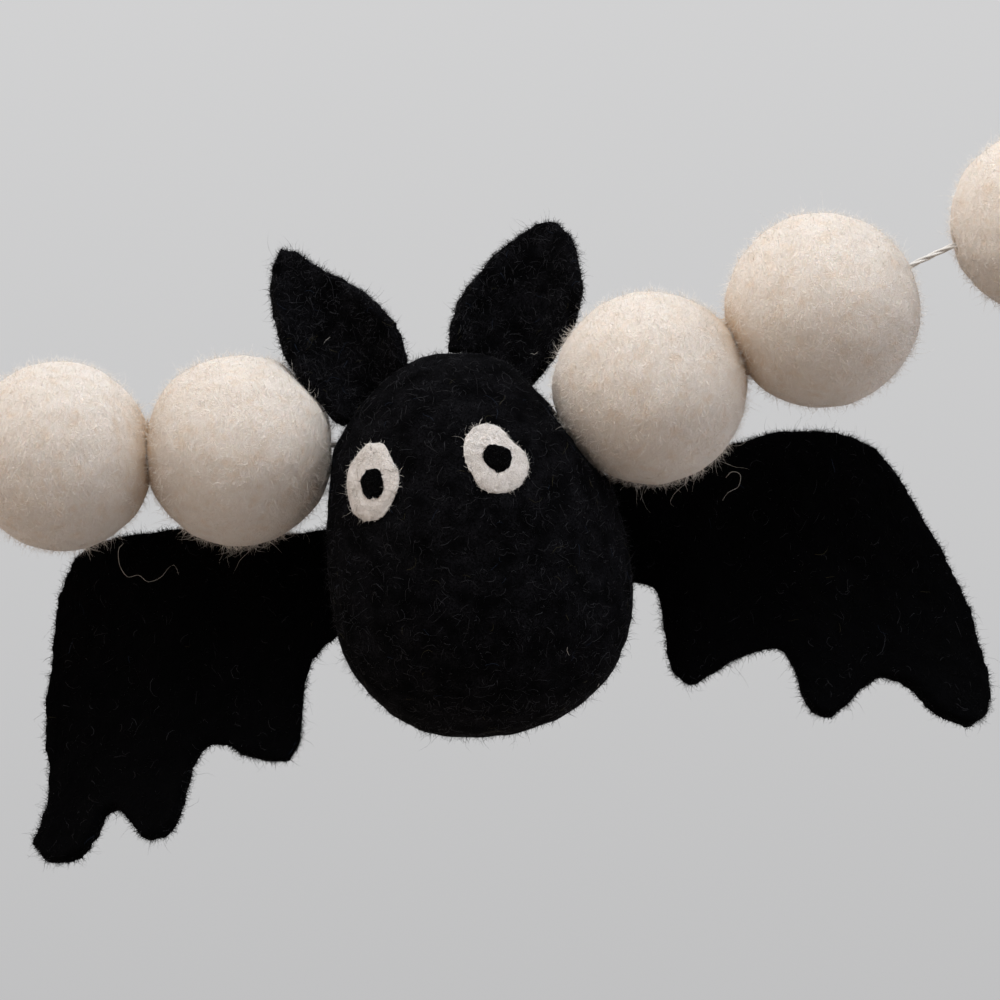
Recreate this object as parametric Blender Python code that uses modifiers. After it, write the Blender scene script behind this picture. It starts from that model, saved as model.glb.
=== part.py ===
"""Felt bat garland.

A bat made of wool felt hangs on a thin white cord between five felt balls. Its egg-shaped body is
solid felt with a hole for the cord. Its ears and wings are cut from thick felt, and its eyes are
small patches of wool needled onto the face. The cord ends in a knotted hanging loop on each side.

The origin is the tip of the right hanging loop, which is the higher one. +Z is up, the bat looks
towards -Y, and the garland runs along X. Sizes are in metres.
"""

import math

import bmesh
import bpy
from mathutils import Euler, Matrix, Vector
from mathutils.geometry import delaunay_2d_cdt

MM = 0.001
GAP = 0.3 * MM  # left between pieces that touch

# Cord, holes and knots
CORD_DIAMETER = 0.8 * MM
HOLE_DIAMETER = 1.9 * MM
KNOT_LENGTH, KNOT_WIDTH = 3.4 * MM, 2.6 * MM

# Body: an egg turned about its own upright axis, narrower at the top
BODY_CENTRE = Vector((-107.4, 0.0, -57.6)) * MM
BODY_HALF_HEIGHT = 25.2 * MM
BODY_RADIUS = 19.4 * MM
BODY_FULLNESS, BODY_BLUNTNESS = 2.5, 0.48  # an ellipse has 2 and 0.5
BODY_TAPER = 0.13  # how much slimmer the top is
BODY_DEPTH = 0.95  # front to back against side to side
BODY_LUMPS = (  # where the hand-made felt stands out or in
    # degrees round, height in mm, share of the radius, spread in degrees and in mm
    (-90.0, 16.0, 0.075, 45.0, 3.5),  # beside the left ball, under the ear
    (90.0, 17.5, -0.160, 60.0, 5.0),  # squeezed between the right ball and the ear
    (90.0, -18.0, 0.018, 60.0, 5.0),
)
BAT_LEAN = 8.5  # degrees, the top towards the left
HEAD_LEAN = 3.1  # degrees more, for the ears

# Body mesh: rings from top to bottom, and points round each
EGG_RINGS, EGG_SIDES = 20, 32
TRIM_CLEARANCE = 0.36 * MM  # between the body and the wings and ears trimmed to it
DENT_CLEARANCE = 0.48 * MM  # round the ball that presses into the body's shoulder

# Balls: points down the side and round, and how far the felt is out of round
BALL_RINGS, BALL_SIDES = 14, 24
BALL_UNEVEN = 0.16 * MM
BALL_EVEN_ROUND_HOLE = 3.5 * MM
PRESSED_GAP = 0.51 * MM  # between the flats of two balls that press together

# Sheets
WING_THICKNESS = 2.2 * MM
EAR_THICKNESS = 2.0 * MM
EYE_THICKNESS = 0.7 * MM
PUPIL_THICKNESS = 0.5 * MM
RIM_DENSITY = 2.4  # points round a sheet's edge for each point of its outline
RIM_MARGIN = 0.6  # cells between that edge and the first points inside it
ROW_SPACING = 0.87  # of a cell, between rows of points that lie in triangles

# Balls, left to right: centre in mm, diameter in mm, and the climb of its hole in degrees
BALLS = (
    # name, x, y, z, diameter, climb
    ("ball_left_outer", -161.6, 2.2, -46.15, 24.7, 0.5),
    ("ball_left_inner", -138.15, 2.5, -45.3, 25.0, 3.5),
    ("ball_right_inner", -84.6, -2.6, -37.3, 25.2, 24.0),
    ("ball_right_middle", -62.2, -2.4, -27.3, 25.3, 26.0),
    ("ball_right_outer", -33.7, -1.8, -15.8, 23.7, 15.4),
)

# Flats that the bat presses on a ball: degrees up from its hole's line, and mm from its centre
PRESSED_BY_BAT = {
    "ball_left_inner": ((0.0, 11.75), (38.5, 11.35)),  # the body's side, then the ear's edge
}

# The cord's route in mm, from the left knot to the right one
ROUTE = (
    (-179.1, 2.2, -46.0),
    (-176.6, 2.2, -46.3),
    (-174.0, 2.2, -46.4),
    (-168.0, 2.2, -46.3),
    (-161.6, 2.2, -46.2),
    (-155.9, 2.2, -46.1),
    (-150.0, 2.35, -45.95),
    (-144.0, 2.5, -45.65),
    (-138.1, 2.5, -45.3),
    (-131.8, 2.5, -44.95),
    (-125.3, 2.2, -44.72),
    (-118.0, 0.95, -44.25),
    (-110.8, -0.3, -43.8),
    (-103.5, -1.55, -43.35),
    (-98.5, -2.4, -43.02),
    (-96.3, -2.58, -42.66),
    (-93.0, -2.6, -41.15),
    (-89.0, -2.6, -39.35),
    (-84.6, -2.6, -37.4),
    (-79.0, -2.6, -34.97),
    (-73.3, -2.5, -32.6),
    (-67.7, -2.4, -30.03),
    (-62.2, -2.4, -27.3),
    (-56.3, -2.4, -24.42),
    (-50.7, -2.3, -21.5),
    (-47.8, -2.0, -20.1),
    (-44.9, -1.8, -18.85),
    (-39.3, -1.8, -17.34),
    (-33.7, -1.8, -15.8),
    (-28.0, -1.8, -14.23),
    (-22.4, -1.7, -12.55),
    (-19.9, -1.5, -11.3),
    (-17.9, -1.35, -10.2),
)
CORD_POINTS = 50
BODY_ENTRY, BODY_EXIT = 11, 13  # the route's points just inside the body

# A hanging loop in mm: out from its knot, and across
LOOP = (
    (-0.2, 0.6),
    (3.4, 2.3),
    (7.4, 3.5),
    (11.6, 3.6),
    (15.0, 2.3),
    (16.5, 0.0),
    (15.0, -2.3),
    (11.6, -3.6),
    (7.4, -3.5),
    (3.4, -2.3),
    (-0.2, -0.6),
)
LOOP_POINTS = 15
LEFT_KNOT, RIGHT_KNOT = Vector((-181.1, 2.2, -45.8)) * MM, Vector((-16.1, -1.24, -9.2)) * MM
LEFT_LOOP_TIP, RIGHT_LOOP_TIP = Vector((-199.6, 2.2, -44.2)) * MM, Vector((0.0, 0.0, 0.0))

# Wing outlines in mm, out from the body's axis and up from its centre. The two were cut by hand
# and differ. The first and last points lie inside the body, which trims the root to its side.
WING_OUTLINE = (
    # place, right out, right up, left out, left up
    ("root, upper", 12.5, 4.8, 12.5, 3.4),
    ("under the ball", 24.5, 6.4, 25.0, 4.8),
    ("top edge", 36.0, 7.9, 35.6, 7.3),
    ("shoulder", 43.5, 8.5, 42.4, 7.7),
    ("shoulder, outer", 50.0, 7.3, 49.4, 7.5),
    ("corner", 55.4, 3.5, 54.7, 3.5),
    ("outer edge, upper", 59.6, -5.5, 57.7, -5.5),
    ("outer edge, middle", 63.2, -15.5, 60.0, -16.4),
    ("outer edge, lower", 64.6, -24.5, 60.6, -25.2),
    ("outer point, far side", 64.5, -30.6, 63.2, -31.2),
    ("outer point", 61.7, -33.6, 60.6, -33.7),
    ("outer point, near side", 56.9, -30.9, 55.7, -31.9),
    ("first notch, far side", 54.0, -27.0, 54.2, -28.8),
    ("first notch", 49.9, -25.3, 51.3, -27.2),
    ("middle point, far side", 44.7, -28.5, 49.0, -31.2),
    ("middle point", 41.6, -29.2, 46.6, -32.3),
    ("middle point, near side", 39.4, -25.6, 43.5, -29.8),
    ("second notch, far side", 39.1, -20.6, 41.0, -23.8),
    ("second notch", 35.6, -19.4, 38.2, -20.9),
    ("inner point, far side", 29.7, -21.0, 32.9, -23.4),
    ("inner point", 25.4, -22.7, 28.8, -24.9),
    ("inner point, near side", 23.1, -20.0, 26.6, -22.5),
    ("inner edge", 23.2, -12.4, 24.4, -14.3),
    ("inner corner", 21.7, -8.8, 22.1, -10.7),
    ("root, lower", 12.5, -6.6, 12.5, -4.8),
)
WING_CELL = 3.6 * MM

# How a wing hangs, in mm behind the body's axis
WING_BACK = 9.9  # at the body, level with its centre
WING_TILT = 0.13  # the top leans back, mm for each mm up
WING_SWEEP_FROM, WING_SWEEP = 34.0, 0.0085  # the outer part bends back past this
WING_CURL_FROM, WING_CURL = -14.0, 0.016  # the points curl forward below this
# Soft ridges and troughs that run down a wing: where each crosses the shoulder, how it slants,
# its half width and its height towards the front, all in mm. They fade in below the shoulder.
WING_SHOULDER, WING_FOLD_FADE = 8.0, 14.0
WING_FOLDS = (
    # out, slant, half width, right height, left height
    (28.0, 0.05, 6.0, 0.9, 1.5),
    (37.0, -0.05, 5.0, -0.8, -0.7),
    (45.0, -0.12, 5.5, 0.7, 0.9),
    (54.0, -0.15, 5.0, -0.6, 0.5),
)

# Ear outlines in mm, across from the head's axis and up from the body's centre, in the head's
# own lean. The first and last points lie inside the head, which trims the root.
EAR_OUTLINE = (
    # place, right across, right up, left across, left up
    ("root, inner", 2.6, 19.5, -5.4, 18.5),
    ("inner edge, lower", 2.2, 25.4, -4.1, 25.4),
    ("inner edge, middle", 4.2, 30.6, -4.6, 29.7),
    ("inner edge, upper", 8.7, 35.5, -8.0, 35.3),
    ("beside the tip, inner", 14.0, 38.6, -13.0, 39.8),
    ("tip", 18.1, 39.6, -16.6, 43.0),
    ("beside the tip, outer", 20.1, 37.5, -18.9, 39.8),
    ("outer edge, upper", 20.6, 32.4, -19.4, 32.8),
    ("outer edge, middle", 19.0, 26.4, -18.0, 26.5),
    ("outer edge, lower", 14.4, 21.4, -14.7, 20.9),
    ("root, outer", 8.2, 16.8, -12.2, 17.2),
)
EAR_CELL = 2.6 * MM
EAR_BACK_RIGHT, EAR_BACK_LEFT = 4.2, 1.8  # mm behind the axis at the root
EAR_LEAN_BACK = 0.10  # mm back for each mm up from the root
EAR_ROOT_HEIGHT = 19.0  # mm
EAR_CUP_RIGHT, EAR_CUP_LEFT = 0.045, 0.065  # how far the sides come forward, mm for each mm squared
EAR_PINCH, EAR_PINCH_HEIGHT = 1.2, 6.0  # how much stronger that is at the root, and how far up
EAR_MIDDLE, EAR_SPREAD = 9.0, 0.30  # mm out to the middle of the root, and more for each mm up

# Eyes and pupils, needled on the face: place and size in mm as seen square on, then the hand-made
# edge, as how far it stands out or in, from its right side round by the top
EYES = (
    # side, across, up, width, height, edge
    ("left", -12.0, 9.8, 9.6, 10.8,
     (1.0, 0.93, 1.04, 1.0, 0.97, 1.0, 0.96, 0.88, 0.96, 1.0, 1.03, 1.0)),
    ("right", 4.5, 10.5, 8.5, 9.7,
     (1.0, 0.76, 0.92, 1.0, 1.04, 1.05, 0.96, 0.9, 1.06, 1.0, 1.04, 1.0)),
)
PUPILS = (
    ("left", -11.35, 9.5, 4.0, 4.5, (1.0, 0.95, 0.92, 1.0, 1.05, 1.0, 0.92, 0.9, 0.95, 1.04)),
    ("right", 4.6, 10.25, 3.9, 4.0, (1.0, 0.96, 0.92, 1.0, 1.04, 0.98, 0.9, 0.94, 1.0, 0.93)),
)
EYE_CELL, PUPIL_CELL = 1.7 * MM, 1.2 * MM
FACE_SLOPE = 0.93  # a patch's height seen square on, against its height along the sloping face


def new_collection(name):
    collection = bpy.data.collections.new(name)
    bpy.context.scene.collection.children.link(collection)
    return collection


def clear_scene():
    for thing in list(bpy.data.objects):
        bpy.data.objects.remove(thing, do_unlink=True)


def material(name, colour, roughness):
    made = bpy.data.materials.new(name)
    made.use_nodes = True
    shader = made.node_tree.nodes["Principled BSDF"]
    shader.inputs["Base Color"].default_value = (*colour, 1.0)
    shader.inputs["Roughness"].default_value = roughness
    shader.inputs["Metallic"].default_value = 0.0
    made.diffuse_color = (*colour, 1.0)
    return made


def place(name, data, collection, finish=None):
    thing = bpy.data.objects.new(name, data)
    collection.objects.link(thing)
    if finish:
        data.materials.append(finish)
    return thing


def apply_modifiers(thing):
    """Turn the object into the mesh its modifiers make."""
    bpy.context.view_layer.update()
    graph = bpy.context.evaluated_depsgraph_get()
    mesh = bpy.data.meshes.new_from_object(thing.evaluated_get(graph))
    thing.modifiers.clear()
    thing.data = mesh


def turned(name, profile, steps, collection, finish):
    """A profile of (radius, height) points, top to bottom down its outer side, turned about Z."""
    mesh = bpy.data.meshes.new(name)
    points = [(radius, 0.0, height) for radius, height in profile]
    edges = [(i, i + 1) for i in range(len(points) - 1)]
    if profile[0][0] > 0.0:  # a bored piece: its profile closes along the hole
        edges.append((len(points) - 1, 0))
    mesh.from_pydata(points, edges, [])
    thing = place(name, mesh, collection, finish)
    screw = thing.modifiers.new("Turn", "SCREW")
    screw.steps = screw.render_steps = steps
    screw.use_merge_vertices = True
    screw.merge_threshold = 0.01 * MM
    screw.use_normal_calculate = False
    return thing


def cut(thing, cutter):
    boolean = thing.modifiers.new("Cut", "BOOLEAN")
    boolean.operation = "DIFFERENCE"
    boolean.solver = "EXACT"
    boolean.object = cutter


def as_cutter(thing):
    thing.hide_render = True
    thing.display_type = "WIRE"
    return thing


def smooth_curve(points, count, closed=False):
    """Points spread evenly along a Catmull-Rom curve through the given ones."""
    points = [Vector(p) for p in points]
    last = len(points)
    fine = []
    for i in range(last if closed else last - 1):
        a, b = points[i], points[(i + 1) % last]
        before = points[i - 1] if closed or i > 0 else a * 2 - b
        after = points[(i + 2) % last] if closed or i + 2 < last else b * 2 - a
        for k in range(16):
            t = k / 16
            fine.append(
                0.5 * (2 * a + (b - before) * t + (2 * before - 5 * a + 4 * b - after) * t**2
                       + (3 * a - before - 3 * b + after) * t**3)
            )
    fine.append(points[0] if closed else points[-1])
    lengths = [0.0]
    for a, b in zip(fine, fine[1:]):
        lengths.append(lengths[-1] + (b - a).length)
    stops = count if closed else count - 1
    spread, at = [], 0
    for k in range(count):
        wanted = lengths[-1] * k / stops
        while at < len(fine) - 2 and lengths[at + 1] < wanted:
            at += 1
        share = (wanted - lengths[at]) / (lengths[at + 1] - lengths[at])
        spread.append(fine[at].lerp(fine[at + 1], min(max(share, 0.0), 1.0)))
    return spread


# Cord ------------------------------------------------------------------------------------------


def tube(name, points, collection, finish):
    curve = bpy.data.curves.new(name, "CURVE")
    curve.dimensions = "3D"
    curve.bevel_depth = CORD_DIAMETER / 2
    curve.bevel_resolution = 2
    curve.use_fill_caps = True
    spline = curve.splines.new("POLY")
    spline.points.add(len(points) - 1)
    for point, place_on_route in zip(spline.points, points):
        point.co = (*place_on_route, 1.0)
    return place(name, curve, collection, finish)


def loop(name, knot, tip, collection, finish):
    """A hanging loop from its knot's outer face to its tip, standing upright in the cord's line."""
    along = (tip - knot).normalized()
    across = Vector((0.0, 1.0, 0.0)).cross(along).normalized()
    start = tip - along * LOOP[len(LOOP) // 2][0] * MM
    points = [start + along * out * MM + across * side * MM for out, side in LOOP]
    return tube(name, smooth_curve(points, LOOP_POINTS), collection, finish)


def knot(name, centre, tip, collection, finish):
    bpy.ops.mesh.primitive_uv_sphere_add(segments=12, ring_count=8, radius=0.5, location=centre)
    thing = bpy.context.object
    thing.name = name
    thing.scale = (KNOT_WIDTH, KNOT_WIDTH, KNOT_LENGTH)
    thing.rotation_euler = (tip - centre).to_track_quat("Z", "Y").to_euler()
    thing.data.shade_smooth()
    thing.data.materials.append(finish)
    for other in thing.users_collection:
        other.objects.unlink(thing)
    collection.objects.link(thing)
    return thing


# Balls -----------------------------------------------------------------------------------------


def ball_profile(radius, low, high):
    """A bored ball with a pressed flat at each end of its hole, low and high above its centre."""
    hole = HOLE_DIAMETER / 2
    start, end = math.asin(high / radius), math.asin(low / radius)
    rim = [start + (end - start) * k / BALL_RINGS for k in range(BALL_RINGS + 1)]
    outer = [(radius * math.cos(a), radius * math.sin(a)) for a in rim]
    return [(hole, high), *outer, (hole, low)]


def roughen(mesh, radius, turn):
    """Make a felt ball a little out of round, fading out near its hole."""
    for vertex in mesh.vertices:
        x, y, z = vertex.co
        fade = min(max((math.hypot(x, y) - BALL_EVEN_ROUND_HOLE) / BALL_EVEN_ROUND_HOLE, 0.0), 1.0)
        around = math.atan2(y, x)
        height = z / radius
        wave = (
            0.5 * math.sin(2 * around + turn)
            + 0.3 * math.sin(3 * around - 2.1 * turn + 1.4 * height)
            + 0.4 * math.sin(2.2 * height + 1.7 * turn)
        )
        vertex.co += vertex.co.normalized() * BALL_UNEVEN * wave * fade


def press(mesh, climb, depth):
    """Press a flat on a ball, climb degrees up from its hole's line and depth from its centre."""
    way = Vector((-math.sin(math.radians(climb)), 0.0, math.cos(math.radians(climb))))
    for vertex in mesh.vertices:
        beyond = vertex.co.dot(way) - depth
        if beyond > 0.0:
            vertex.co -= way * beyond


def balls(collection, finish):
    centres = [Vector(row[1:4]) * MM for row in BALLS]
    radii = [row[4] * MM / 2 for row in BALLS]
    for i, (name, _, _, _, _, climb) in enumerate(BALLS):
        reach = math.sqrt(radii[i] ** 2 - (HOLE_DIAMETER / 2) ** 2)
        flats = [reach, reach]
        for side, j in enumerate((i - 1, i + 1)):
            if 0 <= j < len(BALLS):
                apart = (centres[i] - centres[j]).length
                if apart < radii[i] + radii[j] + GAP:
                    flats[side] = min(reach, (apart - PRESSED_GAP) / 2)
        profile = ball_profile(radii[i], -flats[0], flats[1])
        thing = turned(name, profile, BALL_SIDES, collection, finish)
        apply_modifiers(thing)
        roughen(thing.data, radii[i], 1.3 * i)
        for climb_over_hole, depth in PRESSED_BY_BAT.get(name, ()):
            press(thing.data, climb_over_hole, depth * MM)
        thing.data.shade_smooth()
        thing.location = centres[i]
        thing.rotation_euler = (0.0, math.radians(90.0 - climb), 0.0)


# Body ------------------------------------------------------------------------------------------


def egg_radius(height):
    """The egg's half width at a height above its centre."""
    up = min(max(height / BODY_HALF_HEIGHT, -1.0), 1.0)
    across = (1.0 - abs(up) ** BODY_FULLNESS) ** BODY_BLUNTNESS
    return BODY_RADIUS * across * (1.0 - BODY_TAPER * up)


def egg_point(around, height):
    """A point of the egg's surface, around degrees to the right of its front."""
    turn = math.radians(around)
    up = height / BODY_HALF_HEIGHT
    uneven = 1.0 + 0.012 * math.sin(turn + 2.2 * up) + 0.008 * math.sin(2 * turn - 3.0 * up)
    for side, level, share, breadth, rise in BODY_LUMPS:
        off = ((around - side + 180.0) % 360.0 - 180.0) / breadth
        off_level = (height / MM - level) / rise
        uneven += share * math.exp(-off * off - off_level * off_level)
    radius = egg_radius(height) * uneven
    return Vector((radius * math.sin(turn), -BODY_DEPTH * radius * math.cos(turn), height))


def egg_normal(around, height):
    side = egg_point(around + 1.0, height) - egg_point(around - 1.0, height)
    rise = egg_point(around, height + 0.2 * MM) - egg_point(around, height - 0.2 * MM)
    return side.cross(rise).normalized()


def egg(name, grow, collection, finish=None):
    """The egg, or a copy of it that stands out by grow all round."""
    heights = [BODY_HALF_HEIGHT * math.cos(math.pi * k / EGG_RINGS) for k in range(EGG_RINGS + 1)]
    profile = [(0.0 if k in (0, EGG_RINGS) else egg_radius(h), h) for k, h in enumerate(heights)]
    thing = turned(name, profile, EGG_SIDES, collection, finish)
    apply_modifiers(thing)
    for vertex in thing.data.vertices:
        x, y, z = vertex.co
        if math.hypot(x, y) > 0.01 * MM:
            vertex.co = egg_point(math.degrees(math.atan2(x, -y)), z)
    thing.data.update()
    normals = [vertex.normal.copy() for vertex in thing.data.vertices]
    for vertex, normal in zip(thing.data.vertices, normals):
        vertex.co += normal * grow
    thing.data.shade_smooth()
    return thing


def bat_body(bat, collection, cutters, finish):
    body = egg("bat_body", 0.0, collection, finish)
    body.parent = bat
    entry, leave = (Vector(ROUTE[i]) * MM for i in (BODY_ENTRY, BODY_EXIT))
    middle, way = (entry + leave) / 2, leave - entry
    bpy.ops.mesh.primitive_cylinder_add(vertices=16, radius=HOLE_DIAMETER / 2, depth=60 * MM)
    hole = as_cutter(bpy.context.object)
    hole.name = "hole_cutter"
    hole.matrix_world = Matrix.Translation(middle) @ way.to_track_quat("Z", "Y").to_matrix().to_4x4()
    _, x, y, z, diameter, _ = next(row for row in BALLS if row[0] == "ball_right_inner")
    radius = diameter * MM / 2 + DENT_CLEARANCE
    bpy.ops.mesh.primitive_uv_sphere_add(segments=32, ring_count=20, radius=radius)
    bpy.context.object.location = Vector((x, y, z)) * MM
    dent = as_cutter(bpy.context.object)
    dent.name = "dent_cutter"
    for cutter in (hole, dent):
        for other in cutter.users_collection:
            other.objects.unlink(cutter)
        cutters.objects.link(cutter)
    cut(body, dent)
    cut(body, hole)
    return body


# Sheets ----------------------------------------------------------------------------------------


def sheet_mesh(name, outline, cell, bend):
    """An open sheet inside a smooth closed outline, each point moved to where bend puts it."""
    count = int(len(outline) * RIM_DENSITY)
    rim = smooth_curve([(x, y, 0.0) for x, y in outline], count, closed=True)
    rim = [point.to_2d() for point in rim]
    low = Vector((min(p.x for p in rim), min(p.y for p in rim)))
    high = Vector((max(p.x for p in rim), max(p.y for p in rim)))
    inner = []
    rows, columns = int((high.y - low.y) / cell) + 1, int((high.x - low.x) / cell) + 1
    for row in range(rows):
        for column in range(columns):
            shift = 0.5 * (row % 2)
            point = low + Vector(((column + shift) * cell, (row + 0.5) * cell * ROW_SPACING))
            clear = min((point - p).length for p in rim) > RIM_MARGIN * cell
            if clear and inside(point, rim):
                inner.append(point)
    flat = delaunay_2d_cdt(rim + inner, [], [list(range(len(rim)))], 1, 0.001 * MM)
    mesh = bpy.data.meshes.new(name)
    mesh.from_pydata([bend(x, y) for x, y in flat[0]], [], [list(face) for face in flat[2]])
    mesh.update()
    return mesh


def inside(point, rim):
    """Whether a flat point lies inside a closed outline."""
    crossings = False
    for a, b in zip(rim, rim[1:] + rim[:1]):
        if (a.y > point.y) != (b.y > point.y):
            if point.x < a.x + (b.x - a.x) * (point.y - a.y) / (b.y - a.y):
                crossings = not crossings
    return crossings


def face_front(mesh):
    """Turn the faces of an open sheet so that they look towards -Y."""
    shape = bmesh.new()
    shape.from_mesh(mesh)
    bmesh.ops.recalc_face_normals(shape, faces=shape.faces)
    if sum(face.normal.y * face.calc_area() for face in shape.faces) > 0.0:
        bmesh.ops.reverse_faces(shape, faces=shape.faces)
    shape.to_mesh(mesh)
    shape.free()


def thicken(thing, thickness, offset):
    solidify = thing.modifiers.new("Thickness", "SOLIDIFY")
    solidify.thickness = thickness
    solidify.offset = offset


def wing_bend(side):
    """How a wing hangs: side is 1 for the right one and -1 for the left one."""

    def bend(x, z):
        out, up = abs(x) / MM, z / MM
        back = WING_BACK + WING_TILT * up
        back += WING_SWEEP * max(out - WING_SWEEP_FROM, 0.0) ** 2
        back -= WING_CURL * min(up - WING_CURL_FROM, 0.0) ** 2
        for place_out, slant, width, right, left in WING_FOLDS:
            below = WING_SHOULDER - up
            off = (out - place_out - slant * below) / width
            fade = min(max(below / WING_FOLD_FADE, 0.0), 1.0)
            back -= (right if side > 0 else left) * math.exp(-off * off) * fade
        return Vector((x, back * MM, z))

    return bend


def wing(side, bat, collection, trimmer, finish):
    columns = (1, 2) if side > 0 else (3, 4)
    outline = [(side * row[columns[0]] * MM, row[columns[1]] * MM) for row in WING_OUTLINE]
    name = "wing_right" if side > 0 else "wing_left"
    mesh = sheet_mesh(name, outline, WING_CELL, wing_bend(side))
    face_front(mesh)
    thing = place(name, mesh, collection, finish)
    thing.parent = bat
    thicken(thing, WING_THICKNESS, 0.0)
    cut(thing, trimmer)
    return thing


def ear_bend(side):
    """How an ear is cupped: its sides come forward, most of all at the pinched root."""
    root = EAR_BACK_RIGHT if side > 0 else EAR_BACK_LEFT
    cup = EAR_CUP_RIGHT if side > 0 else EAR_CUP_LEFT

    def bend(x, z):
        up = z / MM - EAR_ROOT_HEIGHT
        off = x / MM - side * (EAR_MIDDLE + EAR_SPREAD * up)
        pinch = 1.0 + EAR_PINCH * math.exp(-max(up, 0.0) / EAR_PINCH_HEIGHT)
        back = root + EAR_LEAN_BACK * up - cup * pinch * off * off
        return Vector((x, back * MM, z))

    return bend


def ear(side, head, collection, trimmer, finish):
    columns = (1, 2) if side > 0 else (3, 4)
    outline = [(row[columns[0]] * MM, row[columns[1]] * MM) for row in EAR_OUTLINE]
    name = "ear_right" if side > 0 else "ear_left"
    mesh = sheet_mesh(name, outline, EAR_CELL, ear_bend(side))
    face_front(mesh)
    thing = place(name, mesh, collection, finish)
    thing.parent = head
    thicken(thing, EAR_THICKNESS, 0.0)
    cut(thing, trimmer)
    return thing


def patch(name, row, lift, thickness, cell, bat, collection, finish):
    """A thin patch of wool lying on the face, lift above it, with a hand-made outline."""
    side, across, up, width, height, edge = row
    name = f"{name}_{side}"
    reach = egg_radius(up * MM)
    turn = math.degrees(math.asin(across * MM / reach))
    outline = []
    for k, stand in enumerate(edge):
        angle = 2 * math.pi * k / len(edge)
        outline.append((stand * width * MM / 2 * math.cos(angle), stand * height * MM / 2 * math.sin(angle)))

    def bend(a, b):
        around = turn + math.degrees(a / reach)
        level = up * MM + b * FACE_SLOPE
        return egg_point(around, level) + egg_normal(around, level) * lift

    mesh = sheet_mesh(name, outline, cell, bend)
    face_front(mesh)
    thing = place(name, mesh, collection, finish)
    thing.parent = bat
    thicken(thing, thickness, 1.0)
    return thing


# Garland ---------------------------------------------------------------------------------------


def empty(name, parent, matrix, collection):
    frame = place(name, None, collection)
    frame.parent = parent
    frame.matrix_local = matrix
    return frame


def main():
    clear_scene()
    garland = new_collection("felt_bat_garland")
    cutters = new_collection("cutters")
    cream = material("cream_wool_felt", (0.78, 0.70, 0.62), 0.95)
    black = material("black_wool_felt", (0.006, 0.006, 0.007), 0.95)
    eye_white = material("white_wool", (0.72, 0.69, 0.66), 0.95)
    cotton = material("white_cord", (0.82, 0.80, 0.77), 0.8)

    lean = Euler((0.0, -math.radians(BAT_LEAN), 0.0)).to_matrix().to_4x4()
    more = Euler((0.0, -math.radians(HEAD_LEAN), 0.0)).to_matrix().to_4x4()
    bat = empty("bat", None, Matrix.Translation(BODY_CENTRE) @ lean, garland)
    head = empty("head", bat, more, garland)
    bpy.context.view_layer.update()

    bat_body(bat, garland, cutters, black)
    trimmer = as_cutter(egg("trim_cutter", TRIM_CLEARANCE, cutters))
    trimmer.parent = bat
    for side in (1, -1):
        wing(side, bat, garland, trimmer, black)
        ear(side, head, garland, trimmer, black)
    for eye, pupil in zip(EYES, PUPILS):
        patch("eye", eye, GAP, EYE_THICKNESS, EYE_CELL, bat, garland, eye_white)
        patch("pupil", pupil, 2 * GAP + EYE_THICKNESS, PUPIL_THICKNESS, PUPIL_CELL, bat, garland, black)

    balls(garland, cream)
    route = [Vector(point) * MM for point in ROUTE]
    tube("cord", smooth_curve(route, CORD_POINTS), garland, cotton)
    for side, centre, tip in (("left", LEFT_KNOT, LEFT_LOOP_TIP), ("right", RIGHT_KNOT, RIGHT_LOOP_TIP)):
        knot(f"knot_{side}", centre, tip, garland, cotton)
        loop(f"loop_{side}", centre, tip, garland, cotton)


main()
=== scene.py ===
"""Felt bat garland: the finish of its felt, cord and fuzz around the packed frame.

A black felt bat hangs on a thin white cord between cream wool felt balls. Each felt piece is made
from its frame solid, softened and roughened like wool, and then grows a coat of fine fibres. The
cord is three twisted strands, tied into a knotted loop at each end. Lengths are in metres, and the
object looks towards -Y.
"""

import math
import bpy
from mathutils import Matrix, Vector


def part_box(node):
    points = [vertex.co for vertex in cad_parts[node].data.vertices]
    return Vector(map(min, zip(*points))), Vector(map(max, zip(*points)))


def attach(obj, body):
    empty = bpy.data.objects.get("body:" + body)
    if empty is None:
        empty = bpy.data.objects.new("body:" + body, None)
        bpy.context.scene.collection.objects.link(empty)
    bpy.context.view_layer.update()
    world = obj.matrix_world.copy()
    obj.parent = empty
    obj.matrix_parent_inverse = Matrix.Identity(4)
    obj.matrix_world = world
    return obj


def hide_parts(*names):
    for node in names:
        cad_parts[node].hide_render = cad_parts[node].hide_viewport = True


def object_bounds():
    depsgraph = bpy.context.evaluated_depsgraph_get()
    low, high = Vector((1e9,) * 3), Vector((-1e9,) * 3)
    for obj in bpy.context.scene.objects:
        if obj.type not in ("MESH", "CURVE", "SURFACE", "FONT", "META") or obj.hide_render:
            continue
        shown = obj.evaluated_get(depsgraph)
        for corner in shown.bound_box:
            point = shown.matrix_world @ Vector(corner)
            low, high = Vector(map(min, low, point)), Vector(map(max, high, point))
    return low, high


bl_info = {
    "name": "Felt Bat Garland",
    "version": (1, 0, 0),
    "blender": (4, 5, 0),
    "location": "3D Viewport > Sidebar > Garland",
    "description": "Makes a felt bat and wool felt balls threaded on a cord",
    "category": "Add Mesh",
}

import bmesh
import bpy
import numpy as np
from bpy.props import FloatProperty, FloatVectorProperty, IntProperty, PointerProperty
from mathutils import Matrix, Vector, noise
from mathutils.bvhtree import BVHTree

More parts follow.
